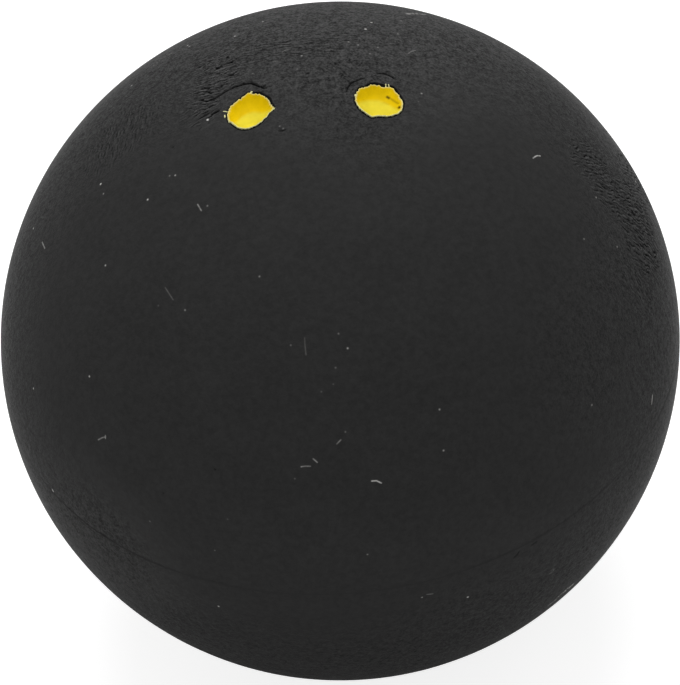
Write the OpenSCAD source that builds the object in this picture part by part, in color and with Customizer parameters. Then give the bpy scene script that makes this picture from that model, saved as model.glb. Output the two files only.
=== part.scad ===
// Hollow rubber squash ball with two painted dots.
// The origin is the centre of the ball. +Z runs out through the dotted pole, the seam lies in the
// XY plane, and the two dots stand side by side along X.

/* [Ball] */
// Outside diameter of the ball
ball_d = 40; // [36:0.5:44]
// Thickness of the rubber wall
wall_t = 5.2; // [3:0.1:8]

/* [Seam] */
// Thickness of the cured rubber solution between the two rims
film_t = 0.08; // [0.04:0.01:0.3]
// Bevel that buffing leaves on the outer edge of each rim
rim_bevel = 0.06; // [0.04:0.01:0.3]
// Bevel that buffing leaves on the inner edge of each rim
inner_bevel = 0.3; // [0.1:0.05:0.8]
// How far the film stops short of the ball's surface
film_recess = 0.05; // [0.02:0.01:0.3]
// Radius of the bead that is squeezed out into the hollow
bead_r = 0.5; // [0.2:0.05:1.5]

/* [Dots] */
// Distance between the centres of the two dots, measured straight across
dot_pitch = 7.4; // [6:0.1:12]
// How far the line between the dots lies in front of the pole
dot_offset = 0.3; // [-2:0.1:2]
// Diameter of each dimple at its mouth
dot_d = 2.8; // [2:0.1:3.4]
// Depth of each dimple below the ball's surface
dimple_depth = 0.55; // [0.3:0.05:0.9]
// How far the worn lip reaches to each side of the mouth's edge
lip_w = 0.1; // [0.04:0.02:0.2]
// Thickness of the paint that lines each dimple
paint_t = 0.1; // [0.05:0.01:0.2]

/* [Mould pin marks] */
// Distance from a dimple's mouth to the ring that the edge of its mould pin leaves
ring_gap = 0.9; // [0.4:0.1:1.2]
// Width of that ring
ring_w = 0.12; // [0.08:0.02:0.3]
// Depth of that ring
ring_depth = 0.04; // [0.02:0.01:0.06]

/* [Hidden] */
$fn = 180;

// How far a cutting shape runs past what it cuts
overrun = 1;
rubber_colour = "#2b2b2b";
adhesive_colour = "#1e1d1b";
paint_colour = "#e0be10";

// The wall lies between these two spheres, and each rim half a film above or below the seam plane
ball_r = ball_d / 2;
hollow_r = ball_r - wall_t;
rim_z = film_t / 2;

// Each dot's axis leans away from the pole, so that its mouth stands at half the pitch along X
dot_lean = asin(norm([dot_pitch / 2, dot_offset]) / ball_r);

// The bowl is the sphere that passes through the mouth's edge and through the dimple's deepest point
mouth_r = dot_d / 2;
bowl_sag = dimple_depth - (ball_r - sqrt(pow(ball_r, 2) - pow(mouth_r, 2)));
bowl_r = (pow(mouth_r, 2) + pow(bowl_sag, 2)) / (2 * bowl_sag);
bowl_z = ball_r - dimple_depth + bowl_r;

// Heights of the ball's surface and of the bowl at a distance from the dot's axis
function ball_height(r) = sqrt(pow(ball_r, 2) - pow(r, 2));
function bowl_height(r) = bowl_z - sqrt(pow(bowl_r, 2) - pow(r, 2));

// The pin mark is a round groove, and its arc passes through its two edges and its deepest point
ring_r = mouth_r + ring_gap;
ring_lean = asin(ring_r / ball_r);
groove_r = (pow(ring_w / 2, 2) + pow(ring_depth, 2)) / (2 * ring_depth);
groove_z = ball_r - ring_depth + groove_r;

// Side of a dot seen from the front
LEFT = -1;
RIGHT = 1;

// Triangle that takes the corner off a rim, outwards at the ball's surface and inwards at the hollow
module rim_corner(edge_r, width, side) {
    far_x = edge_r + side * overrun;
    polygon([
        [edge_r - side * width, rim_z],
        [far_x, rim_z],
        [far_x, rim_z + width + overrun]
    ]);
}

// Right half of the upper shell's section, with its flat rim and both of its bevels
module half_section() {
    difference() {
        intersection() {
            circle(r = ball_r);
            translate([0, rim_z]) square([ball_r + overrun, ball_r + overrun]);
        }
        circle(r = hollow_r);
        rim_corner(ball_r, rim_bevel, 1);
        rim_corner(hollow_r, inner_bevel, -1);
    }
}

// Moulded half shell with a plain outside
module half_shell() {
    rotate_extrude() half_section();
}

// Puts what is drawn round +Z on the axis of the left or the right dot
module at_dot(side) {
    rotate([0, dot_lean, atan2(-dot_offset, side * dot_pitch / 2)]) children();
}

// Bowl of a dimple, grown inwards by the thickness of what lines it
module bowl(lining = 0) {
    translate([0, 0, bowl_z]) sphere(r = bowl_r - lining);
}

// Ring that takes the sharp edge off the mouth of a dimple, from the ball's surface down to the bowl
module lip() {
    inner_r = mouth_r - lip_w;
    outer_r = mouth_r + lip_w;
    rotate_extrude() polygon([
        [inner_r, bowl_height(inner_r)],
        [outer_r, ball_height(outer_r)],
        [outer_r, ball_r + overrun],
        [inner_r, ball_r + overrun]
    ]);
}

// Ring that the edge of the mould pin presses round a dimple
module pin_mark() {
    rotate_extrude()
        translate([groove_z * sin(ring_lean), groove_z * cos(ring_lean)])
            circle(r = groove_r);
}

// Half shell with the two dimples and their pin marks
module dotted_half() {
    color(rubber_colour) difference() {
        half_shell();
        for (side = [LEFT, RIGHT]) at_dot(side) {
            bowl();
            lip();
            pin_mark();
        }
    }
}

// Half shell that closes the ball from below
module plain_half() {
    color(rubber_colour) mirror([0, 0, 1]) half_shell();
}

// Cured rubber solution: a film between the rims, with what has been squeezed out at both edges
module seam_adhesive() {
    reach = film_t + 2 * inner_bevel;
    color(adhesive_colour) rotate_extrude() difference() {
        union() {
            translate([hollow_r, -reach / 2]) square([wall_t - film_recess, reach]);
            translate([hollow_r, 0]) circle(r = bead_r);
        }
        half_section();
        mirror([0, 1]) half_section();
    }
}

// Skin of paint that lines a dimple up to its lip
module dot_paint(side) {
    color(paint_colour) at_dot(side) difference() {
        intersection() {
            bowl();
            sphere(r = ball_r);
        }
        bowl(paint_t);
        lip();
    }
}

module left_dot_paint() {
    dot_paint(LEFT);
}

module right_dot_paint() {
    dot_paint(RIGHT);
}

dotted_half();
plain_half();
seam_adhesive();
left_dot_paint();
right_dot_paint();
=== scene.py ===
import math

import bpy
import numpy as np
from mathutils import Matrix, Vector, noise
from mathutils.geometry import delaunay_2d_cdt


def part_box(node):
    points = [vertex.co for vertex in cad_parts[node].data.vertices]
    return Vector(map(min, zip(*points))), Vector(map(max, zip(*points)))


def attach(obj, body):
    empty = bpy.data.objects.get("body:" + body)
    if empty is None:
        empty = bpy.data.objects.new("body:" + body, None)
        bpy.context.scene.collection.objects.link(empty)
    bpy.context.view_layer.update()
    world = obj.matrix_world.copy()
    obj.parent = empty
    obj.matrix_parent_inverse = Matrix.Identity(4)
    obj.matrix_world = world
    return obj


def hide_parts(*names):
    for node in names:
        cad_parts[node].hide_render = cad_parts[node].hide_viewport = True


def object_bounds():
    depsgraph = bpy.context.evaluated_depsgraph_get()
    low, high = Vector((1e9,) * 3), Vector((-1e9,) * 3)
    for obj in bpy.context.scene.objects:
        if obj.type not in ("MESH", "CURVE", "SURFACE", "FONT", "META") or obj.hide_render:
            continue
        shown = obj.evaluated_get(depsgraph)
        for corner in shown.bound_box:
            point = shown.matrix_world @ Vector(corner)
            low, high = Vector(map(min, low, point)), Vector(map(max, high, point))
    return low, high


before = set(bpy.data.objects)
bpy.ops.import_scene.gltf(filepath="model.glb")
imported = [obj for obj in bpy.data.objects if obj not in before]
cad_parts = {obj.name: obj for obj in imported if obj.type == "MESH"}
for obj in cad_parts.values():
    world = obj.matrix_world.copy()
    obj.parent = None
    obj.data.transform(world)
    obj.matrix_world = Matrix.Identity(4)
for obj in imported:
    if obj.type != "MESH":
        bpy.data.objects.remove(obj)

# The view. The ball lies on a white studio sweep, and the camera looks down at its dotted pole from
# the length of an arm away. Its place comes from the outline, the dots and the seam in the photograph.
MM = 0.001
cad_low, cad_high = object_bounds()
ball_r = (cad_high[2] - cad_low[2]) / 2 / MM
PHOTO_WIDTH_PX = 680
PHOTO_HEIGHT_PX = 685
OUTLINE_CENTRE_PX = (339.76, 340.41)
OUTLINE_RADIUS_PX = 339.6
PIXEL_MIDDLE = 0.5
CAMERA_DISTANCE = 400
CAMERA_TURN = math.radians(2.47)
CAMERA_RISE = math.radians(45.88)
CAMERA_ROLL = math.radians(-6.29)
SENSOR = 36
CLIP_NEAR = 10
CLIP_FAR = 20000

camera_back = Vector((
    math.sin(CAMERA_TURN) * math.cos(CAMERA_RISE),
    -math.cos(CAMERA_TURN) * math.cos(CAMERA_RISE),
    math.sin(CAMERA_RISE),
))
level_right = Vector((math.cos(CAMERA_TURN), math.sin(CAMERA_TURN), 0))
level_up = camera_back.cross(level_right)
camera_right = level_right * math.cos(CAMERA_ROLL) + level_up * math.sin(CAMERA_ROLL)
camera_up = camera_back.cross(camera_right)
focal_px = OUTLINE_RADIUS_PX / math.tan(math.asin(ball_r / CAMERA_DISTANCE))

camera_data = bpy.data.cameras.new("camera")
camera_data.sensor_width = SENSOR
camera_data.lens = focal_px * SENSOR / PHOTO_HEIGHT_PX
camera_data.shift_x = (PHOTO_WIDTH_PX / 2 - OUTLINE_CENTRE_PX[0] - PIXEL_MIDDLE) / PHOTO_HEIGHT_PX
camera_data.shift_y = (OUTLINE_CENTRE_PX[1] + PIXEL_MIDDLE - PHOTO_HEIGHT_PX / 2) / PHOTO_HEIGHT_PX
camera_data.clip_start = CLIP_NEAR * MM
camera_data.clip_end = CLIP_FAR * MM
camera = bpy.data.objects.new("camera", camera_data)
turned = Matrix((camera_right, camera_up, camera_back)).transposed().to_4x4()
camera.matrix_world = Matrix.Translation(camera_back * CAMERA_DISTANCE * MM) @ turned
bpy.context.scene.collection.objects.link(camera)
bpy.context.scene.camera = camera
bpy.context.scene.view_settings.view_transform = "Standard"


def seen_at(pixel, depth=0):
    """The direction from the ball's centre to what a pixel shows, that deep in mm below the surface."""
    ray = (
        camera_right * (pixel[0] - OUTLINE_CENTRE_PX[0])
        - camera_up * (pixel[1] - OUTLINE_CENTRE_PX[1])
        - camera_back * focal_px
    ).normalized()
    start = camera_back * CAMERA_DISTANCE
    along = -start.dot(ray)
    gap = math.sqrt(max((ball_r - depth) ** 2 - start.length_squared + along**2, 0))
    return (start + ray * (along - gap)).normalized()


# The sweep and its light, in metres. White card lies under the ball, and a wide soft lamp above and
# behind it lights the top of the ball, as in the photograph, while the room gives an even fill. Card
# and room are shown whiter than they light, so the ball stands on white.
FLOOR_REACH = 3
FLOOR_WHITE = (0.62, 0.62, 0.62, 1)
FLOOR_LIFT = 0.8
ROOM_FILL = 0.51
KEY_PLACE = Vector((0.01, 0.32, 0.78))
KEY_SIZE = 0.66
KEY_WATTS = 4


def new_material(name):
    """A material with an empty node tree, and a function that adds a node to it."""
    material = bpy.data.materials.new(name)
    material.use_nodes = True
    material.node_tree.nodes.clear()
    return material, adder(material.node_tree)


def adder(tree):
    """A function that adds a node to the tree, sets its inputs and properties, and returns it."""

    def add(kind, inputs=(), **properties):
        node = tree.nodes.new("ShaderNode" + kind)
        for name, value in properties.items():
            setattr(node, name, value)
        for name, value in dict(inputs).items():
            if isinstance(value, bpy.types.NodeSocket):
                tree.links.new(value, node.inputs[name])
            else:
                node.inputs[name].default_value = value
        return node

    return add


def maths(add, operation, *values):
    """What a math node makes of the values."""
    return add("Math", enumerate(values), operation=operation).outputs[0]


def ranged(add, value, to_low, to_high, from_low=0, from_high=1):
    """A value carried over from one range to another."""
    labels = ("Value", "From Min", "From Max", "To Min", "To Max")
    return add("MapRange", zip(labels, (value, from_low, from_high, to_low, to_high))).outputs[0]


def shown_white(add):
    """1 for what the camera sees, straight or in gloss or through glass, and 0 for light."""
    rays = add("LightPath").outputs
    seen = maths(add, "MAXIMUM", rays["Is Camera Ray"], rays["Is Glossy Ray"])
    return maths(add, "MAXIMUM", seen, rays["Is Transmission Ray"])


card, add = new_material("white_card")
lift = maths(add, "MULTIPLY", shown_white(add), FLOOR_LIFT)
matt = add("BsdfDiffuse", {"Color": FLOOR_WHITE})
glow = add("Emission", {"Strength": lift})
both = add("AddShader", {0: matt.outputs[0], 1: glow.outputs[0]})
add("OutputMaterial", {"Surface": both.outputs[0]})

floor_mesh = bpy.data.meshes.new("floor")
sides = [(-1, -1), (1, -1), (1, 1), (-1, 1)]
corners = [(x * FLOOR_REACH, y * FLOOR_REACH, cad_low[2]) for x, y in sides]
floor_mesh.from_pydata(corners, [], [(0, 1, 2, 3)])
floor_mesh.materials.append(card)
floor = bpy.data.objects.new("floor", floor_mesh)
bpy.context.scene.collection.objects.link(floor)

room = bpy.data.worlds.new("room")
room.use_nodes = True
room.node_tree.nodes.clear()
add = adder(room.node_tree)
sky = add("Background", {"Strength": ranged(add, shown_white(add), ROOM_FILL, 1)})
add("OutputWorld", {"Surface": sky.outputs[0]})
bpy.context.scene.world = room

key_data = bpy.data.lights.new("key", "AREA")
key_data.shape = "DISK"
key_data.size = KEY_SIZE
key_data.energy = KEY_WATTS
key = bpy.data.objects.new("key", key_data)
aimed = KEY_PLACE.to_track_quat("Z", "Y").to_matrix().to_4x4()
key.matrix_world = Matrix.Translation(KEY_PLACE) @ aimed
bpy.context.scene.collection.objects.link(key)


# The dotted half shell. It is black rubber, pressed hot in a mould whose two pins leave a dimple each
# and a faint ring round it. Its rim is buffed flat and its outside tumbled matt, which leaves the
# leathery creases and the folds above the dots.
WALL = 5.2
INNER_BEVEL = 0.3
SHORTEST_RUN = 1e-9
rim_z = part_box("dotted_half")[0].z / MM
hollow_r = ball_r - WALL


def lumps(points, size, seed):
    """Smooth noise from -1 to 1 at each point, with lumps of about that size in mm."""
    return np.array([noise.noise(p) for p in (points / size + seed).tolist()])


def mixed(points, parts):
    """The sum of several lumps at each point, each given as its height, its size in mm and its seed."""
    return sum(height * lumps(points, size, seed) for height, size, seed in parts)


def gap_to_path(points, path, depth=0):
    """Distance of each point from a path seen in the photograph, and its share of the way along it."""
    corners = [np.array(seen_at(pixel, depth)) * ball_r for pixel in path]
    steps = max(len(corners) - 1, 1)
    nearest = np.full(len(points), np.inf)
    place = np.zeros(len(points))
    for step in range(steps):
        start = corners[step]
        run = corners[min(step + 1, len(corners) - 1)] - start
        share = np.clip((points - start) @ run / max(run @ run, SHORTEST_RUN), 0, 1)
        gap = np.linalg.norm(points - start - share[:, None] * run, axis=1)
        closer = gap < nearest
        nearest[closer] = gap[closer]
        place[closer] = (step + share[closer]) / steps
    return nearest, place


# The seam is a fine groove that wanders a little, just above the film. How far it is open follows the
# photograph along the side that is seen, and noise on the other.
SEAM_WIDTH = 0.12
SEAM_DEPTH = 0.034
SEAM_REACH = 5 * SEAM_WIDTH
SEAM_HIGH = 0.08
SEAM_WANDER = ((0.06, 1.3, 5), (0.048, 0.28, 6))
SEAM_UNEVEN = ((0.5, 0.35, 7),)
SEAM_BREAKS = ((0.6, 0.45, 12), (0.5, 0.2, 13), (0.3, 2.2, 11))
SEAM_WIDEST = 2
SEAM_OPEN = (
    ((20, 440), 0.15), ((52, 490), 0.6), ((80, 520), 1), ((92, 531), 0.9), ((104, 541), 1.8),
    ((122, 549), 0.8), ((150, 562), 0.8), ((180, 573), 0.4), ((225, 586), 0.35), ((255, 592), 0.3),
    ((300, 597), 0.08), ((370, 598), 0.06), ((405, 592), 0.2), ((440, 582), 0.25), ((470, 570), 0.35),
    ((500, 560), 0.65), ((520, 552), 0.4), ((535, 540), 0.5), ((556, 523), 0.55), ((590, 500), 0.5),
    ((620, 470), 0.2), ((650, 425), 0.15),
)
SEAM_HIDDEN = 0.7


def seam_share(points):
    """How far the seam's groove is open at each point, with 1 for its usual depth."""
    places = [math.atan2(seen_at(pixel).x, -seen_at(pixel).y) for pixel, _ in SEAM_OPEN]
    shares = [share for _, share in SEAM_OPEN]
    turn = np.arctan2(points[:, 0], -points[:, 1])
    open_share = np.interp(turn, places, shares, left=SEAM_HIDDEN, right=SEAM_HIDDEN)
    return open_share * np.clip(1 + mixed(points * (1, 1, 0), SEAM_BREAKS), 0, SEAM_WIDEST)


def seam_depth(points):
    """How deep the groove along the seam is at each point, in mm."""
    depth = np.zeros(len(points))
    near = np.abs(points[:, 2]) < SEAM_REACH
    spot = points[near]
    flat = spot * (1, 1, 0)
    middle = SEAM_HIGH + mixed(flat, SEAM_WANDER)
    width = SEAM_WIDTH * (1 + mixed(flat, SEAM_UNEVEN))
    depth[near] = SEAM_DEPTH * seam_share(spot) * np.exp(-(((spot[:, 2] - middle) / width) ** 2))
    return depth


# Each dimple is a bowl with a flat floor. Its lip follows the ragged edge that the paint has run out to,
# which the photograph shows, and it is worn back on one side. A fine moat, a shallow groove, runs round
# the paint, and the rubber in and close round each dimple is painted dark, a painted shade.
DOT_PITCH = 7.4
DOT_OFFSET = 0.3
DIMPLE_R = 1.38
DIMPLE_DEPTH = 0.66
BOWL_POWER = 3
LIP_WORN = 0.06
LIP_RAGGED = ((0.03, 0.16, 27),)
LIP_ROUND = 0.05
LIP_DARK = 0.045
LIP_SHADE = 0.1
MOAT_AWAY = 0.045
MOAT_WIDTH = 0.045
MOAT_DEPTH = 0.07
PIN_RING_R = 2.3
PIN_RING_WIDTH = 0.07
PIN_RING_DEPTH = 0.03
PIN_RING_SHOWN = 0.2
PIN_RING_BREAKS = ((1, 1.2, 31),)
DIMPLE_REACH = 1.5 * PIN_RING_R
EDGE_BELOW = 0.065
LEFT_OUTLINE = (
    (227.8, 111), (231.8, 105.1), (240.5, 99.1), (245.3, 95.2), (248.8, 93.3), (252.5, 94.2), (259.5, 94.5),
    (263.6, 96.5), (267.6, 98.8), (270.7, 104.6), (273.4, 107.6), (272.4, 110.8), (269, 112.8),
    (263.7, 119.2), (256.7, 125.1), (250.5, 127.8), (244.7, 128.9), (238.5, 128.1), (233.9, 125.4),
    (231.2, 122.7), (228, 121.5), (226.9, 116.2),
)
RIGHT_OUTLINE = (
    (354.4, 98.5), (355.4, 94), (358.9, 88.8), (365.4, 87.5), (370.6, 84.9), (378.6, 85.7), (383.7, 87.2),
    (391.5, 88), (395.6, 92.8), (399.2, 96.8), (402.5, 103), (401.9, 108.7), (398.8, 112.9),
    (394, 115), (386.9, 116.4), (381.6, 116), (376.9, 116), (371.4, 116.9), (366.9, 114.2),
    (360.5, 109.6), (355.8, 103.9),
)
dot_height = math.sqrt(ball_r**2 - (DOT_PITCH / 2) ** 2 - DOT_OFFSET**2)
left_axis = np.array((-DOT_PITCH / 2, -DOT_OFFSET, dot_height)) / ball_r
right_axis = left_axis * (-1, 1, 1)
dimples = (
    (left_axis, LEFT_OUTLINE, math.radians(45)),
    (right_axis, RIGHT_OUTLINE, math.radians(75)),
)


def sides_of(axis):
    """The directions to the right and upwards across a dot's axis."""
    right = np.cross((0, 1, 0), axis)
    right /= np.linalg.norm(right)
    return right, np.cross(axis, right)


def round_dot(directions, axis):
    """Each direction's turn round a dot's axis, and its distance from the axis in mm."""
    right, up = sides_of(axis)
    flat = directions * (ball_r / (directions @ axis))[:, None] - axis * ball_r
    return np.arctan2(flat @ up, flat @ right), np.linalg.norm(flat, axis=1)


def paint_reach(axis, outline, worn_turn, turn):
    """How far the paint in a dimple runs out at each turn round its axis, in mm."""
    places, _ = round_dot(np.array([seen_at(pixel, EDGE_BELOW) for pixel in outline]), axis)
    depths = EDGE_BELOW * (1 + np.cos(places - worn_turn))
    corners = np.array([seen_at(pixel, depth) for pixel, depth in zip(outline, depths)])
    places, reaches = round_dot(corners, axis)
    order = np.argsort(places)
    return np.interp(turn, places[order], reaches[order], period=2 * math.pi)


def lip_reach(axis, outline, worn_turn, turn):
    """How far out a dimple's lip is at each turn round its axis, in mm."""
    worn = LIP_WORN * np.cos(turn - worn_turn)
    ragged = mixed(np.c_[np.cos(turn), np.sin(turn), np.full(len(turn), worn_turn)], LIP_RAGGED)
    return paint_reach(axis, outline, worn_turn, turn) + worn + ragged


def near_dots(directions, reach):
    """For each dot: the directions within reach, how the dot lies, and their turns and distances."""
    for dot in dimples:
        near = np.linalg.norm(directions - dot[0], axis=1) * ball_r < reach
        yield near, dot, *round_dot(directions[near], dot[0])


def dimple_relief(directions, height):
    """The given heights with both dimples and their pin rings sunk into them, in mm."""
    height = height.copy()
    for near, dot, turn, away in near_dots(directions, DIMPLE_REACH):
        spot = directions[near] * ball_r
        lip = lip_reach(*dot, turn)
        beyond = away - paint_reach(*dot, turn)
        moat = MOAT_DEPTH * np.exp(-(((beyond - MOAT_AWAY) / MOAT_WIDTH) ** 2))
        share = away / lip
        smooth = lip + (DIMPLE_R - lip) * np.clip(1 - share**BOWL_POWER, 0, 1)
        bowl = DIMPLE_DEPTH * ((away / smooth) ** BOWL_POWER - 1)
        ring = np.exp(-(((away - PIN_RING_R) / PIN_RING_WIDTH) ** 2))
        ring *= PIN_RING_DEPTH * np.clip(PIN_RING_SHOWN + mixed(spot, PIN_RING_BREAKS), 0, 1)
        ground = height[near] - ring
        close = np.maximum(LIP_ROUND - np.abs(ground - bowl), 0) / LIP_ROUND
        height[near] = np.minimum(ground, bowl) - close**2 * LIP_ROUND / 4 - moat
    return height


def lip_shade(directions):
    """1 inside a dimple and close round it, where the rubber is given painted shade, and 0 further out."""
    shade = np.zeros(len(directions))
    for near, dot, turn, away in near_dots(directions, DIMPLE_REACH):
        beyond = away - np.maximum(lip_reach(*dot, turn), paint_reach(*dot, turn))
        shade[near] = np.clip(1 - (beyond - LIP_DARK) / (LIP_SHADE - LIP_DARK), 0, 1)
    return shade


# Folds and single wrinkles in the skin: the path of each in the photograph, its width and its depth.
FOLDS = (
    (((204, 102), (211, 98.8), (217.2, 96), (224.1, 91.2), (230, 88)), 0.06, 0.15),
    (((226, 90.2), (234.4, 86), (239, 84.6), (244.2, 83.2), (249.9, 82.4), (253, 83)), 0.06, 0.21),
    (((246, 82.7), (251, 82.4), (255.1, 84), (259, 85.6), (262, 86.2), (265.3, 83.9)), 0.055, 0.2),
    (((260, 86), (263, 87.4), (267, 86.8)), 0.05, 0.14), (((266, 86.3), (271.5, 85.3)), 0.04, 0.07),
    (((345.5, 92), (347.2, 86.8), (350.4, 82.3), (358.7, 78.5), (366, 77)), 0.055, 0.11),
    (((376, 73), (381, 72.6), (385.5, 73.4), (390.8, 75.8), (395, 78.5)), 0.045, 0.17),
    (((210, 114.1), (214.5, 112), (219, 109.6)), 0.055, 0.2),
    (((207.5, 107), (213, 104.2)), 0.055, 0.2),
    (((201.7, 116.2), (205.5, 114.2), (209.6, 111.6)), 0.045, 0.14),
    (((202.5, 86.9), (206, 87.4), (209.3, 87)), 0.045, 0.16),
    (((207.5, 74.3), (212.8, 72.2)), 0.045, 0.12),
    (((227.5, 74.8), (233.8, 73.6)), 0.055, 0.2),
    (((225, 62.7), (232.6, 61.4)), 0.065, 0.22),
    (((214.8, 68.1), (218, 66.8), (221.8, 64.9)), 0.065, 0.22),
    (((225, 56.1), (228.6, 57)), 0.06, 0.2),
    (((200.5, 99.4), (203.6, 99.3)), 0.045, 0.16),
    (((204, 91), (208, 91.2), (211.5, 93)), 0.045, 0.15),
    (((214, 87.6), (218, 86.6), (222.5, 85)), 0.04, 0.12),
    (((277.5, 130.6), (282, 130.2), (286.1, 128.6)), 0.04, 0.07),
    (((305, 73.3), (309, 72.8)), 0.04, 0.09),
    (((338, 48.6), (344.5, 47.8)), 0.04, 0.09),
    (((447.5, 55.8), (454, 55.4)), 0.04, 0.07),
    (((512.5, 558), (516.5, 554.5), (519.5, 549.5)), 0.05, 0.05),
    (((530, 545.5), (537, 540.5)), 0.05, 0.04),
)
FOLD_TAPER = 0.25
FOLD_RAGGED = ((0.3, 0.16, 17),)


def fold_depth(points):
    """How deep the folds and wrinkles lie at each point, in mm."""
    depth = np.zeros(len(points))
    ragged = mixed(points, FOLD_RAGGED)
    for path, width, deepest in FOLDS:
        gap, place = gap_to_path(points, path)
        taper = np.clip(place / FOLD_TAPER, 0, 1) * np.clip((1 - place) / FOLD_TAPER, 0, 1)
        depth = np.maximum(depth, deepest * np.sqrt(taper) * np.exp(-((gap / width + ragged) ** 2)))
    return depth


def facing(turn, rise):
    """The direction at that turn round the ball from the right, and that far above the seam, in degrees."""
    level = math.cos(math.radians(rise))
    flat = (level * math.cos(math.radians(turn)), level * math.sin(math.radians(turn)))
    return Vector((*flat, math.sin(math.radians(rise))))


# Patches of leathery creases: the middle of each, a place that its creases point to, how far it reaches
# along and across them, and the length, the spacing and the depth of its creases, in mm. The first are
# where the photograph shows them, and the rest are on the sides that it doesn't show.
CREASED = (
    (seen_at((219, 68)), seen_at((233, 63)), 1.6, 2.6, 0.32, 0.23, 0.105),
    (seen_at((204, 93)), seen_at((217, 90)), 1.2, 1.9, 0.32, 0.23, 0.105),
    (seen_at((200, 112)), seen_at((209, 106)), 1.3, 1.5, 0.45, 0.24, 0.06),
    (seen_at((290, 45)), seen_at((300, 44)), 4.4, 2.2, 0.7, 0.3, 0.045),
    (seen_at((604, 181)), seen_at((613, 186)), 1.8, 2.2, 0.45, 0.24, 0.105),
    (seen_at((590, 162)), seen_at((602, 164)), 1.9, 1.8, 0.45, 0.24, 0.0975),
    (seen_at((636, 178)), seen_at((650, 181)), 3.0, 2.0, 0.5, 0.26, 0.0975),
    (seen_at((632, 206)), seen_at((644, 212)), 3.0, 2.1, 0.5, 0.25, 0.12),
    (seen_at((643, 240)), seen_at((650, 247)), 2.6, 2.6, 0.6, 0.25, 0.1125),
    (seen_at((640, 285)), seen_at((645, 292)), 2.4, 2.0, 0.5, 0.25, 0.0375),
    (seen_at((124, 128)), seen_at((129, 112)), 2.6, 3.0, 0.45, 0.26, 0.042),
    (seen_at((105, 150)), seen_at((109, 136)), 2.0, 2.2, 0.45, 0.26, 0.042),
    (facing(70, 38), facing(80, 44), 3.0, 2.4, 0.8, 0.3, 0.09),
    (facing(128, 22), facing(134, 20), 2.6, 2.0, 0.7, 0.28, 0.075),
    (facing(25, -32), facing(32, -36), 3.2, 2.6, 0.8, 0.3, 0.09),
    (facing(155, -40), facing(162, -34), 3.0, 2.6, 0.8, 0.3, 0.0825),
    (facing(262, -66), facing(275, -62), 3.0, 2.4, 0.8, 0.3, 0.075),
)
CREASE_LINE = 0.4
CREASE_WARP = ((0.17, 0.9, 41), (0.09, 0.35, 43))
CREASE_SHIFT = ((0.45, 1, 51),)
CREASE_USUAL = 0.45
CREASE_BREAKS = ((2.6, 1, 61),)
CREASE_MOST = 1.3


def patch_share(points, middle, towards, reach_along, reach_across):
    """Each point's run along and across a patch's creases in mm, and how strong the patch is there."""
    centre = np.array(middle)
    along = np.array(towards) - centre
    along -= centre * (along @ centre)
    along /= np.linalg.norm(along)
    run, side = points @ along, points @ np.cross(centre, along)
    share = np.clip(1 - (run / reach_along) ** 2 - (side / reach_across) ** 2, 0, 1)
    return run, side, share * (points @ centre > 0)


def creases(points):
    """The count of creases across to each point, and how deep they lie there in mm."""
    count = np.zeros(len(points))
    depth = np.zeros(len(points))
    for *patch, length, spacing, deepest in CREASED:
        run, side, share = patch_share(points, *patch)
        near = np.flatnonzero(share > 0)
        spot, run, side = points[near], run[near], side[near]
        across = (side + mixed(spot, CREASE_WARP)) / spacing
        stretched = np.c_[run / length, across / 2, np.zeros(len(run))]
        across += mixed(stretched, CREASE_SHIFT)
        broken = CREASE_USUAL + mixed(stretched * (1, 2, 1), CREASE_BREAKS)
        broken = np.clip(broken, 0, CREASE_MOST)
        here = deepest * np.sqrt(share[near]) * broken
        deeper = here > depth[near]
        count[near[deeper]] = across[deeper]
        depth[near[deeper]] = here[deeper]
    return count, depth


def crease_depth(points):
    """How deep the leathery creases lie at each point, in mm."""
    count, depth = creases(points)
    return depth * np.exp(-((np.sin(math.pi * count) / CREASE_LINE) ** 2))


# Dust and lint that cling to the skin, and pale scuffs, where the photograph shows them. Each has its
# pixel or its path and its paleness, and a paleness over 1 also makes it wider.
DUST_R = 0.045
DUST = (
    ((347.2, 347.9), 0.8), ((52.2, 490.2), 60), ((467.3, 596.5), 1.6), ((421.5, 596.8), 0.5),
    ((218.2, 605.8), 1.2), ((187.2, 45.1), 2), ((188.7, 46.1), 1.2), ((100.3, 183.6), 2),
    ((103, 193.3), 0.4), ((147.2, 199.2), 1), ((207.1, 119.3), 2.8), ((174.8, 174.9), 0.6),
    ((169.2, 175.4), 0.25), ((33, 228), 1.2), ((105, 265), 0.85), ((184.5, 309.6), 0.45),
    ((157.8, 305.2), 0.12), ((259, 276), 0.45), ((89, 376), 0.95), ((33, 388), 1.4),
    ((365.1, 28.8), 8), ((370.9, 22.2), 4), ((421, 93), 0.5), ((583.5, 238.5), 0.25),
    ((595.7, 196.9), 0.55), ((616.6, 246.3), 0.65), ((635.5, 180.8), 3), ((637.2, 184), 1.2),
    ((439, 409), 0.6), ((443, 450), 0.75), ((367, 554), 0.3), ((591.4, 404.5), 0.5),
    ((262.4, 21.4), 1.7), ((234.4, 35.9), 1.8), ((301, 55.4), 1), ((296.6, 68.6), 0.2),
    ((252.2, 73), 0.2), ((348, 41.6), 0.85), ((357.7, 44.6), 0.8), ((377.2, 46.9), 0.5),
    ((369.4, 53.1), 0.4), ((397.4, 33.5), 0.8), ((400.7, 20.4), 0.8), ((338, 333.2), 0.25),
    ((290.3, 344.7), 0.2), ((335.1, 367.3), 0.28), ((332.8, 383.7), 0.12), ((320.8, 391.2), 0.15),
    ((344.9, 431.4), 0.2), ((294.4, 478.2), 0.18), ((131.1, 85.3), 1.5), ((85, 119.6), 0.25),
    ((206.9, 205.3), 0.3), ((214.3, 549.9), 0.17), ((227.1, 518.7), 0.1), ((149.4, 520.9), 0.22),
    ((279.2, 125.7), 0.25), ((282.7, 128), 0.25), ((418, 101), 0.1),
)
LINT_R = 0.033
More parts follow.
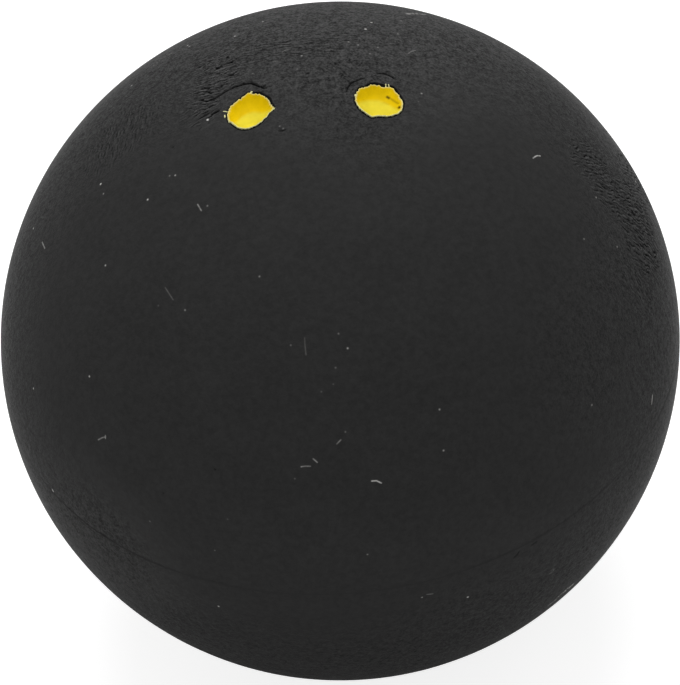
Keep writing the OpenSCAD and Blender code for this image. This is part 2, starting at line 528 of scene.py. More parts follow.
LINT = (
    (((300.7, 466.2), (301.2, 466.2)), 0.55), (((300.7, 466.2), (305, 465.6), (309.9, 465.8)), 0.36),
    (((312.7, 458.3), (316.7, 461.8)), 0.47), (((371.3, 480.5), (375.9, 480.2), (380.8, 482.5)), 0.95),
    (((336.3, 443.4), (340.3, 439.4)), 0.28), (((304.1, 337.2), (304.6, 346), (305.5, 354.4)), 0.1),
    (((651.9, 394.4), (651.1, 403.5)), 1), (((197.2, 204), (200.8, 210.1)), 0.35),
    (((164.7, 287.1), (168.5, 293), (172.6, 299.2)), 0.12),
    (((532.6, 157.7), (534.8, 156), (536.8, 155.2), (539.7, 155.5)), 0.8),
    (((97.8, 439.3), (101.5, 437.3), (105.3, 436.2)), 0.4), (((105, 435), (105, 438)), 0.5),
    (((41.7, 241.8), (42.9, 244.5), (44.3, 247.8)), 0.55), (((426.5, 593.9), (432.3, 593.3)), 0.26),
    (((278.8, 52.6), (284, 50), (288, 48.5)), 0.2), (((408, 53), (411, 50.8), (414.8, 50)), 0.3),
)
SCUFF_R = 0.15
SCUFFS = (
    (((407, 13.4), (411, 13.2), (417, 13.5), (424, 13.8)), 0.2),
    (((549.6, 603.6), (551.5, 602.2)), 0.35), (((555, 599), (558.6, 595.4)), 0.25),
    (((562, 592.4), (564.6, 590.2)), 0.5), (((566, 588.6), (571.2, 584.8)), 0.4),
    (((549.5, 572.6), (551.5, 570.4)), 0.07), (((152, 66), (160, 59.5), (170, 53.5)), 0.06),
)
DUST_RAGGED = 0.5
SCUFF_RAGGED = 4
MARKS = (
    [((pixel,), DUST_R, pale, DUST_RAGGED) for pixel, pale in DUST]
    + [(path, LINT_R, pale, DUST_RAGGED) for path, pale in LINT]
    + [(path, SCUFF_R, pale, SCUFF_RAGGED) for path, pale in SCUFFS]
)
MARK_LIFT = 0.03
MOST_LIFTED = 0.5
MARK_FLAKES = ((1, 0.12, 91), (0.6, 0.3, 93))
HAZE = (seen_at((105, 545)), 5, 22)
HAZE_PALE = 0.018
PIT_R = 0.065
PITS = (
    ((74.9, 517.3), 0.08), ((214.7, 468.9), 0.05), ((163, 492.6), 0.04), ((313.5, 53.6), 0.05),
    ((345, 64.5), 0.05), ((340, 61.7), 0.04), ((141.6, 129), 0.06), ((135, 130.5), 0.05),
    ((172.2, 146.8), 0.05), ((433.7, 24.8), 0.05), ((574, 515.5), 0.04), ((602, 490), 0.04),
)


def near_spot(directions, middle, within, beyond):
    """1 within so many degrees of a direction, falling smoothly to 0 beyond so many."""
    away = np.degrees(np.arccos(np.clip(directions @ np.array(middle), -1, 1)))
    share = np.clip((beyond - away) / (beyond - within), 0, 1)
    return share**2 * (3 - 2 * share)


def paleness(directions):
    """How pale dust, lint, scuffs and the haze at the lower left make each point, from 0 to 1."""
    points = directions * ball_r
    pale = HAZE_PALE * near_spot(directions, *HAZE)
    flakes = mixed(points, MARK_FLAKES)
    for path, width, palest, ragged in MARKS:
        gap, _ = gap_to_path(points, path)
        flaked = np.maximum(1 + ragged * flakes, 0)
        pale = np.maximum(pale, palest * np.exp(-((gap / width) ** 2)) * flaked)
    return np.minimum(pale, 1)


# The skin is smoothest where the ball has been rubbed, and its grain is coarser away from there. Each
# spot has its middle, how many degrees it fills and where it ends, and the rough ones their share.
RUBBED = (
    (seen_at((190, 340)), 30, 62), (seen_at((300, 420)), 38, 66), (seen_at((470, 430)), 24, 54),
    (seen_at((500, 200)), 12, 40),
)
LEAST_COARSE = 0.08
ROUGH = (
    (seen_at((95, 545)), 7, 17, 0.95), (seen_at((40, 470)), 3, 10, 0.5), (seen_at((610, 350)), 2, 22, 0.3),
)
SKIN_WAVES = ((0.008, 5, 3), (0.003, 1.1, 8))


def coarseness(directions):
    """How coarse the grain is at each point, from 0 to 1."""
    coarse = np.ones(len(directions))
    for spot in RUBBED:
        coarse = np.minimum(coarse, 1 - near_spot(directions, *spot))
    for *spot, share in ROUGH:
        coarse = np.maximum(coarse, share * near_spot(directions, *spot))
    return LEAST_COARSE + (1 - LEAST_COARSE) * coarse


def groove_depth(directions, with_creases=True):
    """How deep the seam, the folds, the creases and the pits are at each point, in mm."""
    points = directions * ball_r
    depth = fold_depth(points)
    if with_creases:
        depth = np.maximum(depth, crease_depth(points))
    for pixel, deepest in PITS:
        gap, _ = gap_to_path(points, (pixel,))
        depth = np.maximum(depth, deepest * np.exp(-((gap / PIT_R) ** 2)))
    return np.maximum(depth, seam_depth(points))


def skin_relief(directions):
    """Height of the rubber's skin over the true ball, in mm, without the dimples."""
    height = mixed(directions * ball_r, SKIN_WAVES)
    height += MARK_LIFT * np.minimum(paleness(directions), MOST_LIFTED)
    return height - groove_depth(directions)


def dotted_relief(directions):
    """Height of the dotted half's skin over the true ball, in mm."""
    return dimple_relief(directions, skin_relief(directions))


# The skin's points lie on lattices of three spacings, the finer ones only where fine shapes are, and
# on close circles along the rim.
COARSE = 0.42
MIDDLE = 0.072
FINE = 0.035
HOLLOW_COARSE = 1.2
MARK_REACH = 3
PIT_REACH = 2
PATCH_EDGE = 0.02
DIMPLE_CLOSE = 1.75
DECIMALS = 9
SAME_POINT = 1e-9
RIM_STEPS = 1400
RIM_HEIGHTS = (0.025, 0.055, 0.09, 0.13, 0.19, 0.28, 0.42)
RIM_CLEAR = 0.5
MOUTH_REACH = 0.2
MOUTHS_ABOVE = 0.9
GOLDEN_TURN = math.pi * (3 - math.sqrt(5))
STEP_MIDDLE = 0.5
SEARCH_MARGIN = 1.5


def spread(spacing, radius, lowest=0, highest=1):
    """Directions spread evenly over the upper half of a ball, that many mm apart, between two heights."""
    count = int(2 * math.pi * radius**2 / (spacing**2 * math.sqrt(3) / 2))
    first = max(int(count * (1 - highest)), 0)
    last = min(math.ceil(count * (1 - lowest)), count)
    step = np.arange(first, last) + STEP_MIDDLE
    height = 1 - step / count
    across = np.sqrt(1 - height**2)
    turn = step * GOLDEN_TURN
    return np.c_[across * np.cos(turn), across * np.sin(turn), height]


def spread_near(path, reach, side):
    """The finest lattice's directions within reach of a path in the photograph, on that side's half."""
    corners = np.array([seen_at(pixel) for pixel in path])[:, 2] * side
    lean = SEARCH_MARGIN * reach / ball_r
    found = spread(FINE, ball_r, max(corners.min() - lean, 0), min(max(corners.max() + lean, 0), 1))
    return found[gap_to_path(found * (1, 1, side) * ball_r, path)[0] < reach]


def in_creases(directions):
    """Where the leathery creases and the dimples need closer points."""
    inside = np.zeros(len(directions), bool)
    for *patch, _, _, _ in CREASED:
        inside |= patch_share(directions * ball_r, *patch)[2] > PATCH_EDGE
    for axis, _, _ in dimples:
        away = np.linalg.norm(directions - axis, axis=1) * ball_r
        inside |= (away < DIMPLE_CLOSE) | (np.abs(away - PIN_RING_R) < 2 * PIN_RING_WIDTH)
    return inside


def at_mouths(directions):
    """Where a dimple's lip needs the closest points."""
    inside = np.zeros(len(directions), bool)
    for near, dot, turn, away in near_dots(directions, PIN_RING_R):
        inside[near] = np.abs(away - lip_reach(*dot, turn)) < MOUTH_REACH
    return inside


def circle(height, radius):
    """Directions along the circle at that height on a ball of that radius."""
    turn = np.arange(RIM_STEPS) * 2 * math.pi / RIM_STEPS
    across = math.sqrt(radius**2 - height**2)
    return np.c_[across * np.cos(turn), across * np.sin(turn), np.full(RIM_STEPS, height)] / radius


def skin_points(side):
    """Directions over a half ball above its rim, closest together where the skin has fine shapes."""
    flip = (1, 1, side)
    coarse = spread(COARSE, ball_r)
    coarse = coarse[(coarse[:, 2] * ball_r > rim_z + RIM_CLEAR) & ~in_creases(coarse * flip)]
    middle = spread(MIDDLE, ball_r)
    middle = middle[(middle[:, 2] * ball_r > rim_z + RIM_HEIGHTS[-1]) & in_creases(middle * flip)]
    fine = spread(FINE, ball_r, MOUTHS_ABOVE, 1)
    chosen = [middle[~at_mouths(middle * flip)], fine[at_mouths(fine * flip)], coarse]
    chosen += [circle(rim_z + height, ball_r) for height in RIM_HEIGHTS]
    reaches = [(path, MARK_REACH * width) for path, width, *_ in (*MARKS, *FOLDS)]
    reaches += [((pixel,), PIT_REACH * PIT_R) for pixel, _ in PITS]
    small = np.concatenate([spread_near(path, reach, side) for path, reach in reaches])
    small = np.unique(small.round(DECIMALS), axis=0)
    return np.concatenate(chosen + [small[small[:, 2] * ball_r > rim_z + RIM_HEIGHTS[0] / 2]])


def dome(directions):
    """Triangles over directions of the upper half ball, seen from outside, found in its flat map."""
    flat = directions[:, :2] / (1 + directions[:, 2:])
    found = delaunay_2d_cdt([Vector(p) for p in flat.tolist()], [], [], 0, SAME_POINT)
    source = [origin[0] for origin in found[3]]
    return [[source[corner] for corner in face] for face in found[2]]


def strip(first, second, steps=RIM_STEPS):
    """Squares between two rings of points, which start at these numbers."""
    return [
        (first + i, second + i, second + (i + 1) % steps, first + (i + 1) % steps)
        for i in range(steps)
    ]


def new_piece(name, points, faces, shares=(), sharp=None):
    """A smooth closed mesh from points in mm, with its named shares, and sharp edges over an angle."""
    mesh = bpy.data.meshes.new(name)
    mesh.from_pydata((points * MM).tolist(), [], faces)
    mesh.shade_smooth()
    if sharp:
        mesh.set_sharp_from_angle(angle=sharp)
    for label, values in shares:
        values = np.pad(values, (0, len(points) - len(values))).astype(np.float32)
        mesh.attributes.new(label, "FLOAT", "POINT").data.foreach_set("value", values)
    piece = bpy.data.objects.new(name, mesh)
    bpy.context.scene.collection.objects.link(piece)
    return piece


CREVICE_BLACK = 0.1
CREASE_BLACK = 0.038
SHARP_OVER = math.radians(50)


def half_shell(name, relief, side):
    """A closed half shell: its skin, its flat rim with the inner bevel, and its smooth hollow."""
    skin = np.r_[circle(rim_z, ball_r), skin_points(side)]
    outside = skin * (ball_r + relief(skin * (1, 1, side)))[:, None]
    outside[:RIM_STEPS, 2] = rim_z
    rim = circle(rim_z, hollow_r + INNER_BEVEL) * (hollow_r + INNER_BEVEL)
    inner = spread(HOLLOW_COARSE, hollow_r)
    inner = inner[inner[:, 2] * hollow_r > rim_z + 2 * INNER_BEVEL]
    hollow = np.r_[circle(rim_z + INNER_BEVEL, hollow_r), inner]
    rim_start = len(outside)
    hollow_start = rim_start + RIM_STEPS
    faces = [tuple(face) for face in dome(skin)]
    faces += strip(0, rim_start)
    faces += strip(rim_start, hollow_start)
    faces += [tuple(hollow_start + corner for corner in reversed(face)) for face in dome(hollow)]
    points = np.r_[outside, rim, hollow * hollow_r]
    if side < 0:
        points = points * (1, 1, -1)
        faces = [face[::-1] for face in faces]
    real = skin * (1, 1, side)
    count, crease = creases(real * ball_r)
    # Painted shade: darker the deeper the seam, folds and pits lie, and in and round each dimple.
    crevice_shade = np.maximum(np.minimum(groove_depth(real, False) / CREVICE_BLACK, 1), lip_shade(real))
    shares = (
        ("pale", paleness(real)),
        ("crevice_shade", crevice_shade),
        ("crease_count", count),
        ("creased", crease / CREASE_BLACK),
        ("coarse", coarseness(real)),
    )
    return new_piece(name, points, faces, shares, SHARP_OVER)


dotted_shell = half_shell("dotted_shell", dotted_relief, 1)
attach(dotted_shell, "root")
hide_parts("dotted_half")


def new_group(name, inputs, outputs):
    """A shader node group with named inputs and outputs, its input node and a function that adds a node."""
    tree = bpy.data.node_groups.new(name, "ShaderNodeTree")
    for label, kind, value in inputs:
        socket = tree.interface.new_socket(name=label, in_out="INPUT", socket_type="NodeSocket" + kind)
        if value is not None:
            socket.default_value = value
    for label, kind in outputs:
        tree.interface.new_socket(name=label, in_out="OUTPUT", socket_type="NodeSocket" + kind)
    return tree, tree.nodes.new("NodeGroupInput").outputs, adder(tree)


def close_group(tree, results):
    """Links each named result to the group's output."""
    end = tree.nodes.new("NodeGroupOutput")
    for label, socket in results.items():
        tree.links.new(socket, end.inputs[label])


# Grain: what moulding and tumbling leave on rubber, as a height in mm and as noise for its tones.
PER_MM = (1 / MM, 1 / MM, 1 / MM)
GRAIN_HARSH = 0.65
GRAIN_DETAIL = 3
MOTTLE_FINENESS = 0.36
MOTTLE_DETAIL = 1
WORN_FINENESS = 0.35
WORN_DETAIL = 2
grain_group, given, add = new_group(
    "rubber_grain",
    [("Position", "Vector", None), ("Grain Size", "Float", 1), ("Grain Depth", "Float", 0)],
    [("Height", "Float"), ("Tone", "Float"), ("Mottle", "Float"), ("Worn", "Float")],
)
place = add("VectorMath", {0: given["Position"], 1: PER_MM}, operation="MULTIPLY").outputs[0]
small = maths(add, "DIVIDE", 1, given["Grain Size"])
fine = {"Vector": place, "Scale": small, "Detail": GRAIN_DETAIL, "Roughness": GRAIN_HARSH}
fine = add("TexNoise", fine).outputs["Fac"]
larger = maths(add, "MULTIPLY", small, MOTTLE_FINENESS)
mottle = {"Vector": place, "Scale": larger, "Detail": MOTTLE_DETAIL}
mottle = add("TexNoise", mottle).outputs["Fac"]
broad = {"Vector": place, "Scale": WORN_FINENESS, "Detail": WORN_DETAIL}
broad = add("TexNoise", broad).outputs["Fac"]
height = maths(add, "MULTIPLY", maths(add, "ADD", fine, mottle), given["Grain Depth"])
close_group(grain_group, {"Height": height, "Tone": fine, "Mottle": mottle, "Worn": broad})

# Dust: pale specks that cling to the rubber, scattered at random.
SPECK_SOFT = 0.4
SPECK_SELDOM = 3
dust_group, given, add = new_group(
    "clinging_dust",
    [("Position", "Vector", None), ("Apart", "Float", 1), ("Speck Size", "Float", 0)],
    [("Mask", "Float")],
)
place = add("VectorMath", {0: given["Position"], 1: PER_MM}, operation="MULTIPLY").outputs[0]
cells = add("TexVoronoi", {"Vector": place, "Scale": maths(add, "DIVIDE", 1, given["Apart"])})
away = maths(add, "MULTIPLY", cells.outputs["Distance"], given["Apart"])
soft = maths(add, "MULTIPLY", given["Speck Size"], SPECK_SOFT)
speck = ranged(add, away, 1, 0, soft, given["Speck Size"])
tint = add("SeparateColor", {"Color": cells.outputs["Color"]}).outputs[0]
bright = maths(add, "MULTIPLY", speck, maths(add, "POWER", tint, SPECK_SELDOM))
close_group(dust_group, {"Mask": bright})

# The rubber's colours. Its black is painted palest on top and darkest underneath, a painted light and
# painted shade, and its black and its satin film follow the height along that direction, each as places
# from 0 to 1 and the level there.
RUBBER_BLACK_PAINTED_LIGHT_AND_SHADE = (
    (0, 0.006), (0.21, 0.031), (0.34, 0.0375), (0.51, 0.0342), (0.75, 0.0288), (0.87, 0.03),
    (0.905, 0.034), (0.98, 0.049), (1, 0.052),
)
# Near black, for the painted shade in crevices, along crease lines and round the dots.
CREVICE_SHADE_COLOUR = (0.003, 0.003, 0.003, 1)
DUST_COLOUR = (0.72, 0.71, 0.69, 1)
PAINTED_LIGHT_TOWARDS = facing(79.8, 61.6)
GRAIN_SIZE = 0.14
GRAIN_DEPTH = 0.28
GRAIN_TONE = 1.15
MOTTLE_TONE = 0.5
LEAST_MOTTLE = 0.14
LEAST_TONE = 0.15
CREASE_EDGE = 0.55
RIDGE_EDGE = 0.6
SATIN = ((0.07, 0), (0.3, 0.165), (0.88, 0.165), (0.98, 0.05))
SATIN_ROUGH = 0.2
SATIN_IOR = 1.05
RIDGE_HIGHLIGHT = 0.5
COARSE_PALE = 0.22
DUST_APART = 0.6
DUST_SPECK = 0.04
DUST_SHARE = 0.3
WORN_TONE = 0.06
NOISE_LOW = 0.3
NOISE_HIGH = 0.7
MIDWAY = 0.5
RUBBER_ROUGH = (0.78, 0.87)
RUBBER_SHINE = 0.1


def share_at(add, label):
    """One of the mesh's named shares."""
    return add("Attribute", attribute_name=label).outputs["Fac"]


def blend(add, share, first, second):
    """The first colour where the share is 0, and the second where it is 1."""
    return add("Mix", {0: share, 6: first, 7: second}, data_type="RGBA").outputs[2]


def swing(add, value, reach):
    """Noise made to swing that far to each side of 0."""
    return ranged(add, value, -reach, reach, NOISE_LOW, NOISE_HIGH)


def by_height(add, height, levels):
    """The level at each height."""
    ramp = add("ValToRGB", {"Fac": height})
    for _ in levels[2:]:
        ramp.color_ramp.elements.new(MIDWAY)
    for element, (place_up, level) in zip(ramp.color_ramp.elements, levels):
        element.position = place_up
        element.color = (level, level, level, 1)
    return ramp.outputs["Color"]


def add_skin(add, grain, colour, roughness, shine, satin=()):
    """Adds the surface of a material, with its grain as bumps and its roughness by how worn it is."""
    rough = ranged(add, grain.outputs["Worn"], *roughness)
    bump = add("Bump", {"Height": grain.outputs["Height"], "Distance": MM}).outputs[0]
    inputs = {"Base Color": colour, "Roughness": rough, "Specular IOR Level": shine, "Normal": bump}
    skin = add("BsdfPrincipled", {**inputs, **dict(satin)})
    add("OutputMaterial", {"Surface": skin.outputs[0]})


def moulded_rubber(name):
    """Matt black rubber: its grain, painted light on top, painted shade underneath and in its crevices, and
    the dust that clings to it.
    """
    material, add = new_material(name)
    place = add("TexCoord").outputs["Object"]
    coarse = share_at(add, "coarse")
    depth = maths(add, "MULTIPLY", coarse, GRAIN_DEPTH)
    grain = {"Position": place, "Grain Size": GRAIN_SIZE, "Grain Depth": depth}
    grain = add("Group", grain, node_tree=grain_group)
    height = add("VectorMath", {0: place, 1: PAINTED_LIGHT_TOWARDS}, operation="DOT_PRODUCT").outputs["Value"]
    reach = ball_r * MM
    height = ranged(add, height, 0, 1, -reach, reach)
    speckled = maths(add, "MULTIPLY", swing(add, grain.outputs["Tone"], GRAIN_TONE), coarse)
    mottle = swing(add, grain.outputs["Mottle"], MOTTLE_TONE)
    mottled = maths(add, "MULTIPLY_ADD", mottle, ranged(add, coarse, LEAST_MOTTLE, 1), speckled)
    uneven = maths(add, "ADD", swing(add, grain.outputs["Worn"], WORN_TONE), mottled)
    across = maths(add, "MULTIPLY", share_at(add, "crease_count"), math.pi)
    from_line = maths(add, "ABSOLUTE", maths(add, "SINE", across))
    creased = share_at(add, "creased")
    dustier = ranged(add, coarse, 1, 1 + COARSE_PALE)
    # Painted highlight: the ridges between the crease lines are made paler.
    ridge_highlight = ranged(add, from_line, 0, RIDGE_HIGHLIGHT, RIDGE_EDGE, 1)
    ridge_highlight = maths(add, "MULTIPLY_ADD", ridge_highlight, creased, dustier)
    tone = maths(add, "MAXIMUM", maths(add, "ADD", uneven, ridge_highlight), LEAST_TONE)
    # Painted light and shade: the black is paler on top and darker underneath.
    black = {0: by_height(add, height, RUBBER_BLACK_PAINTED_LIGHT_AND_SHADE), "Scale": tone}
    black = add("VectorMath", black, operation="SCALE").outputs[0]
    # Painted shade: the crease lines and the crevices are blended towards near black.
    line = maths(add, "SUBTRACT", 1, maths(add, "DIVIDE", from_line, CREASE_EDGE))
    crevice_shade = maths(add, "MAXIMUM", maths(add, "MULTIPLY", line, creased), share_at(add, "crevice_shade"))
    deep = blend(add, crevice_shade, black, CREVICE_SHADE_COLOUR)
    dust = {"Position": place, "Apart": DUST_APART, "Speck Size": DUST_SPECK}
    dust = add("Group", dust, node_tree=dust_group).outputs["Mask"]
    faint = maths(add, "MULTIPLY", maths(add, "MULTIPLY", dust, DUST_SHARE), coarse)
    dusty = blend(add, maths(add, "MAXIMUM", faint, share_at(add, "pale")), deep, DUST_COLOUR)
    coat = by_height(add, height, SATIN)
    satin = {"Coat Weight": coat, "Coat Roughness": SATIN_ROUGH, "Coat IOR": SATIN_IOR}
    add_skin(add, grain, dusty, RUBBER_ROUGH, RUBBER_SHINE, satin)
    return material


dotted_shell.data.materials.append(moulded_rubber("dotted_half_rubber"))


# The plain half shell. It comes from the same press with no pins in its mould, so it is bare all over.
# Its rim is buffed and bonded against the other's.
plain_shell = half_shell("plain_shell", skin_relief, -1)
plain_shell.data.materials.append(moulded_rubber("plain_half_rubber"))
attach(plain_shell, "root")
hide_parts("plain_half")


# The seam's adhesive. Rubber solution is brushed on both rims in several coats and cured between
# them, which leaves a thin film, tumbled flush with the rubber outside, and a bead squeezed into the
# hollow.
BEAD_R = 0.5
BEAD_STEPS = 14
BEAD_START = 0.25
BEAD_SWEEP = 1.5


def adhesive_ring():
    """A closed ring that follows the seam outside and ends in a round bead inside."""
    profile = [(None, rim_z), (hollow_r + INNER_BEVEL, rim_z), (hollow_r, rim_z + INNER_BEVEL)]
    for step in range(BEAD_STEPS + 1):
        turn = math.pi * (BEAD_START + BEAD_SWEEP * step / BEAD_STEPS)
        x, z = hollow_r + BEAD_R * math.cos(turn), BEAD_R * math.sin(turn)
        if math.hypot(x, z) < hollow_r:
            profile.append((x, z))
    profile += [(hollow_r, -rim_z - INNER_BEVEL), (hollow_r + INNER_BEVEL, -rim_z), (None, -rim_z)]
    rows = []
    for x, z in profile:
        edge = circle(z if x is None else 0, ball_r)
        across = ball_r + skin_relief(edge) if x is None else np.full(RIM_STEPS, x)
        rows.append(np.c_[edge[:, :2] * across[:, None], np.full(RIM_STEPS, z)])
    faces = []
    for row in range(len(profile)):
        faces += strip(row * RIM_STEPS, (row + 1) % len(profile) * RIM_STEPS)
    return new_piece("seam_film", np.concatenate(rows), faces, (), SHARP_OVER)


ADHESIVE_COLOUR = (0.031, 0.031, 0.031, 1)
FILM_GRAIN = {"Grain Size": 0.2, "Grain Depth": 0.003}
FILM_SATIN = {"Coat Weight": 0.165, "Coat Roughness": SATIN_ROUGH, "Coat IOR": SATIN_IOR}
adhesive, add = new_material("cured_rubber_solution")
place = add("TexCoord").outputs["Object"]
grain = add("Group", {"Position": place, **FILM_GRAIN}, node_tree=grain_group)
add_skin(add, grain, ADHESIVE_COLOUR, RUBBER_ROUGH, RUBBER_SHINE, FILM_SATIN)

seam_film = adhesive_ring()
seam_film.data.materials.append(adhesive)
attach(seam_film, "root")
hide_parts("seam_adhesive")


# The two dots. Each is a skin of yellow paint, dropped into a dimple by hand and run out to its lip,
# so its edge is ragged and has left small splashes on the rubber. The wall of each bowl is painted a
# deeper yellow than its floor, a painted shade, down to the edge that the photograph shows, and the
# paint's edge and its drops are painted pale, a painted highlight.
PAINT_T = 0.08
PAINT_UNEVEN = 0.12
PAINT_LUMP = 0.3
PAINT_RINGS = 40
PAINT_SPOKES = 300
PAINT_EDGE = 0.06
PAINT_SINK = 0.006
EDGE_TEETH = 0.04
TOOTH_SIZE = 0.1
EDGE_PALE_REACH = 0.12
REACH_BELOW = 0.25
EDGE_HIGHLIGHT_BREAKS = 0.4
EDGE_HIGHLIGHT_LUMP = 0.09
LEFT_FLOOR_EDGE = (
    (226, 125), (236, 121.5), (241, 116.5), (247, 113), (254, 111.5), (262, 112.5), (274, 108),
)
RIGHT_FLOOR_EDGE = (
    (352, 104), (360, 101.5), (368, 100), (378, 100), (386, 103), (393, 107), (404, 112),
)
FLOOR_EDGE_PX = 3.5
PAINT_YELLOW = (0.885, 0.745, 0.045, 1)
WALL_SHADE_YELLOW = (0.88, 0.61, 0.001, 1)
EDGE_HIGHLIGHT_YELLOW = (0.95, 0.93, 0.5, 1)
DIRT = (0.03, 0.012, 0.002, 1)
STREAKS = (0.93, 1.05)
PAINT_ROUGH = (0.5, 0.65)
PAINT_SHINE = 0.05
PAINT_GRAIN = {"Grain Size": 0.2, "Grain Depth": 0.006}
DROP_RINGS = 4
DROP_SPOKES = 16
LEFT_DROPS = (
    ((222.5, 111), (227.6, 111.2), 0.035), ((224.4, 114.8), (224.4, 117), 0.05),
    ((249.4, 91.9), (251.4, 91.2), 0.055), ((273, 108), (273.6, 107.4), 0.06),
    ((231.4, 122.2), (231.9, 123.2), 0.05), ((228.2, 120), (228.7, 121.8), 0.05),
    ((233.7, 123.8), (234.5, 125.3), 0.045),
)
RIGHT_DROPS = (
    ((354.8, 93.6), (354.8, 95), 0.06), ((385.2, 83.4), (385.7, 86.4), 0.035),
    ((388, 84), (388.8, 85.6), 0.035),
)
STAINS = (
    (((386.6, 96.3), (388.6, 97.6)), 0.38, 0.065, 0.95),
    (((398.6, 106.2), (398.9, 107.9)), 0.15, 0.07, 1),
    (((389, 97), (392.5, 100), (397.5, 104.8)), 0.35, 0.05, 0.4),
    (((384, 100.3), (388, 102.6)), 0.4, 0.08, 0.12),
)


def add_drop(points, faces, start, end, width):
    """Adds a small closed drop of paint that lies on the rubber from one pixel to another."""
    ends = np.array([seen_at(start), seen_at(end)]) * ball_r
    centre = ends.mean(0)
    along = ends[1] - ends[0]
    half_length = np.linalg.norm(along) / 2 + width
    along /= np.linalg.norm(along)
    across = np.cross(centre / ball_r, along)
    turn = np.arange(DROP_SPOKES) * 2 * math.pi / DROP_SPOKES
    rim = np.cos(turn)[:, None] * along * half_length + np.sin(turn)[:, None] * across * width
    first = len(points)
    for ring in range(DROP_RINGS + 1):
        share = ring / DROP_RINGS
        lift = width * math.sqrt(1 - share**2)
        spot = centre + rim * share if share else centre[None]
        directions = spot / np.linalg.norm(spot, axis=1)[:, None]
        height = ball_r + dotted_relief(directions) + lift - PAINT_SINK
        points += list(directions * height[:, None])
    under = len(points)
    ground = ball_r + dotted_relief(centre[None] / ball_r)[0]
    points.append(centre / np.linalg.norm(centre) * (ground - 2 * PAINT_SINK))
    for i in range(DROP_SPOKES):
        faces.append((first, first + 1 + i, first + 1 + (i + 1) % DROP_SPOKES))
        last = first + 1 + (DROP_RINGS - 1) * DROP_SPOKES
        faces.append((under, last + (i + 1) % DROP_SPOKES, last + i))
    for ring in range(DROP_RINGS - 1):
        outer = first + 1 + (ring + 1) * DROP_SPOKES
        faces += strip(outer - DROP_SPOKES, outer, DROP_SPOKES)


def pixels_of(points):
    """Where the camera sees each point."""
    scale = focal_px / (CAMERA_DISTANCE - points @ np.array(camera_back))
    across = OUTLINE_CENTRE_PX[0] + points @ np.array(camera_right) * scale
    return across, OUTLINE_CENTRE_PX[1] - points @ np.array(camera_up) * scale


def wall_painted_shade(points, floor_edge):
    """1 on a bowl's wall, which is given painted shade, and 0 on its floor beyond the edge seen in the
    photograph.
    """
    across, down = pixels_of(points)
    return np.clip((np.interp(across, *zip(*floor_edge)) - down) / FLOOR_EDGE_PX + MIDWAY, 0, 1)


def stain_share(points):
    """How dark the stains on the paint make each point, from 0 to 1."""
    surface = points * (ball_r / np.linalg.norm(points, axis=1))[:, None]
    stain = np.zeros(len(points))
    for path, depth, width, darkness in STAINS:
        gap, _ = gap_to_path(surface, path, depth)
        stain = np.maximum(stain, darkness * np.exp(-((gap / width) ** 2)))
    return stain


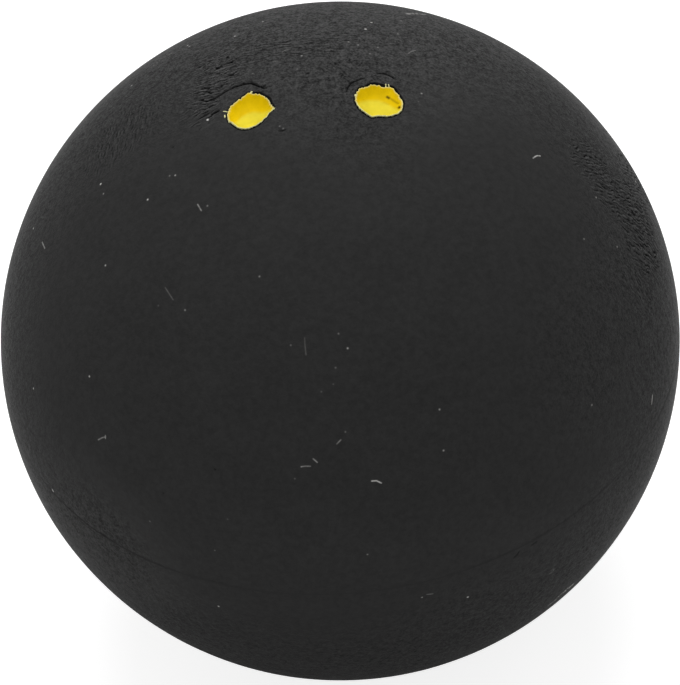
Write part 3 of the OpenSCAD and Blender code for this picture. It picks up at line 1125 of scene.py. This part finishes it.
def paint_skin(name, axis, outline, worn_turn, floor_edge, drops, seed):
    """A closed skin of paint that follows the bowl and ends at the outline, and its drops."""
    right, up = sides_of(axis)
    turn = np.arange(PAINT_SPOKES) * 2 * math.pi / PAINT_SPOKES
    around = np.cos(turn)[:, None] * right + np.sin(turn)[:, None] * up
    teeth = EDGE_TEETH * lumps(np.c_[np.cos(turn), np.sin(turn), np.zeros(PAINT_SPOKES)], TOOTH_SIZE, seed)
    edge = paint_reach(axis, outline, worn_turn, turn) * (1 + teeth)
    rows = []
    edge_highlight = [np.zeros(2)]
    for ring in range(1, PAINT_RINGS + 1):
        away = edge * ring / PAINT_RINGS
        directions = axis * ball_r + around * away[:, None]
        directions /= np.linalg.norm(directions, axis=1)[:, None]
        ground = ball_r + dotted_relief(directions)
        inside = np.clip((edge - away) / PAINT_EDGE, 0, 1)
        depth = PAINT_T * np.sqrt(1 - (1 - inside) ** 2)
        depth *= 1 + PAINT_UNEVEN * lumps(directions * ball_r, PAINT_LUMP, seed)
        rows.append((directions, ground, depth))
        # The painted highlight along the paint's edge, broken up by noise.
        edge_highlit = np.clip(1 + EDGE_HIGHLIGHT_BREAKS * lumps(directions * ball_r, EDGE_HIGHLIGHT_LUMP, seed + 1), 0, 1)
        reach = EDGE_PALE_REACH * (1 - REACH_BELOW * np.sin(turn))
        edge_highlight.append(edge_highlit * (1 - np.clip((edge - away) / reach, 0, 1)))
    ground = ball_r + dotted_relief(axis[None])
    points = [axis * (ground[0] + PAINT_T), axis * (ground[0] - PAINT_SINK)]
    for directions, ground, depth in rows:
        points += list(directions * (ground + depth)[:, None])
    for directions, ground, depth in rows[:-1]:
        points += list(directions * (ground - PAINT_SINK)[:, None])
    top, under = 2, 2 + PAINT_RINGS * PAINT_SPOKES
    faces = []
    for i in range(PAINT_SPOKES):
        after = (i + 1) % PAINT_SPOKES
        faces.append((0, top + i, top + after))
        faces.append((1, under + after, under + i))
    for ring in range(PAINT_RINGS - 1):
        inner = top + ring * PAINT_SPOKES
        faces += strip(inner, inner + PAINT_SPOKES, PAINT_SPOKES)
    for ring in range(PAINT_RINGS - 2):
        inner = under + ring * PAINT_SPOKES
        faces += strip(inner + PAINT_SPOKES, inner, PAINT_SPOKES)
    last_top = top + (PAINT_RINGS - 1) * PAINT_SPOKES
    last_under = under + (PAINT_RINGS - 2) * PAINT_SPOKES
    faces += strip(last_top, last_under, PAINT_SPOKES)
    edge_highlight.append(np.zeros(len(points) - under))
    for start, end, width in drops:
        add_drop(points, faces, start, end, width)
    edge_highlight = np.concatenate(edge_highlight)
    edge_highlight = np.r_[edge_highlight, np.ones(len(points) - len(edge_highlight))]
    points = np.array(points)
    shares = (("edge_highlight", edge_highlight), ("wall", wall_painted_shade(points, floor_edge)), ("stain", stain_share(points)))
    return new_piece(name, points, faces, shares)


paint, add = new_material("yellow_dot_paint")
place = add("TexCoord").outputs["Object"]
grain = add("Group", {"Position": place, **PAINT_GRAIN}, node_tree=grain_group)
# Painted shade: the bowl's wall is a deeper yellow than its floor.
yellow = blend(add, share_at(add, "wall"), PAINT_YELLOW, WALL_SHADE_YELLOW)
# Painted highlight: the paint's edge and its drops are pale yellow.
edge_highlit = blend(add, share_at(add, "edge_highlight"), yellow, EDGE_HIGHLIGHT_YELLOW)
dirty = blend(add, share_at(add, "stain"), edge_highlit, DIRT)
streaks = ranged(add, grain.outputs["Mottle"], *STREAKS, NOISE_LOW, NOISE_HIGH)
streaked = add("VectorMath", {0: dirty, "Scale": streaks}, operation="SCALE").outputs[0]
add_skin(add, grain, streaked, PAINT_ROUGH, PAINT_SHINE)

for name, node, dimple, floor_edge, drops, seed in (
    ("left_dot", "left_dot_paint", dimples[0], LEFT_FLOOR_EDGE, LEFT_DROPS, 71),
    ("right_dot", "right_dot_paint", dimples[1], RIGHT_FLOOR_EDGE, RIGHT_DROPS, 83),
):
    dot = paint_skin(name, *dimple, floor_edge, drops, seed)
    dot.data.materials.append(paint)
    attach(dot, "root")
    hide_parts(node)
